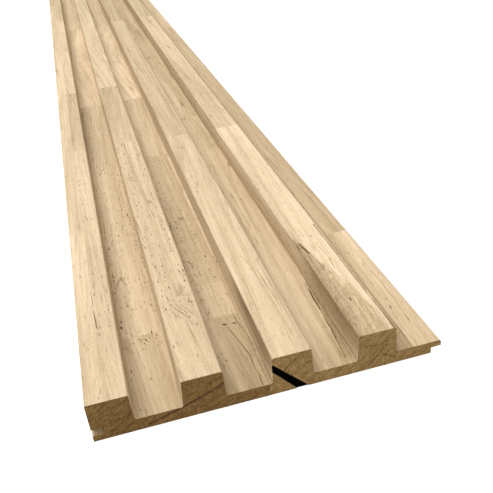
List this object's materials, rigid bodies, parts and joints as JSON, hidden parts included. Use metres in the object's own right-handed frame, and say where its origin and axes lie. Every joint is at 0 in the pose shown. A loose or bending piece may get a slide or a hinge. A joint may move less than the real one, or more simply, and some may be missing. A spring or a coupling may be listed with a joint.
{
  "type": "fluted wood wall panel",
  "caption": "Long fluted wall panel of solid wood with tongue-and-groove edges, moulded from finger-jointed, edge-glued blocks, for cladding walls and ceilings.",
  "frame": {"origin": "middle of the panel's back, on the surface that it lies on", "axes": "+X across the panel from the grooved edge to the tongue, +Y along the grain away from the front end, +Z out of the fluted face"},
  "size_m": [0.15, 2.4, 0.019],
  "materials": {
    "pale_wood": "planed, bare",
    "cream_wood": "planed, bare",
    "tan_wood": "planed, bare"
  },
  "bodies": {
    "root": {"field_stave_1_block_01": "tan_wood", "field_stave_1_block_02": "cream_wood", "field_stave_1_block_03": "tan_wood", "field_stave_1_block_04": "cream_wood", "field_stave_1_block_05": "tan_wood", "field_stave_1_block_06": "tan_wood", "field_stave_1_block_07": "cream_wood", "field_stave_1_block_08": "tan_wood", "field_stave_1_block_09": "cream_wood", "field_stave_1_block_10": "tan_wood", "field_stave_1_block_11": "tan_wood", "field_stave_1_block_12": "cream_wood", "field_stave_1_block_13": "tan_wood", "field_stave_1_block_14": "cream_wood", "field_stave_1_block_15": "tan_wood", "field_stave_2_block_01": "pale_wood", "field_stave_2_block_02": "tan_wood", "field_stave_2_block_03": "tan_wood", "field_stave_2_block_04": "cream_wood", "field_stave_2_block_05": "pale_wood", "field_stave_2_block_06": "tan_wood", "field_stave_2_block_07": "tan_wood", "field_stave_2_block_08": "cream_wood", "groove_edge_stave_block_01": "cream_wood", "groove_edge_stave_block_02": "pale_wood", "groove_edge_stave_block_03": "cream_wood", "groove_edge_stave_block_04": "tan_wood", "groove_edge_stave_block_05": "cream_wood", "groove_edge_stave_block_06": "pale_wood", "groove_edge_stave_block_07": "cream_wood", "groove_edge_stave_block_08": "tan_wood", "groove_edge_stave_block_09": "cream_wood", "groove_edge_stave_block_10": "pale_wood", "groove_edge_stave_block_11": "cream_wood", "groove_edge_stave_block_12": "tan_wood", "groove_edge_stave_block_13": "cream_wood", "tongue_edge_stave_block_01": "pale_wood", "tongue_edge_stave_block_02": "tan_wood", "tongue_edge_stave_block_03": "cream_wood", "tongue_edge_stave_block_04": "pale_wood", "tongue_edge_stave_block_05": "tan_wood", "tongue_edge_stave_block_06": "cream_wood", "tongue_edge_stave_block_07": "pale_wood"}
  },
  "joints": []
}
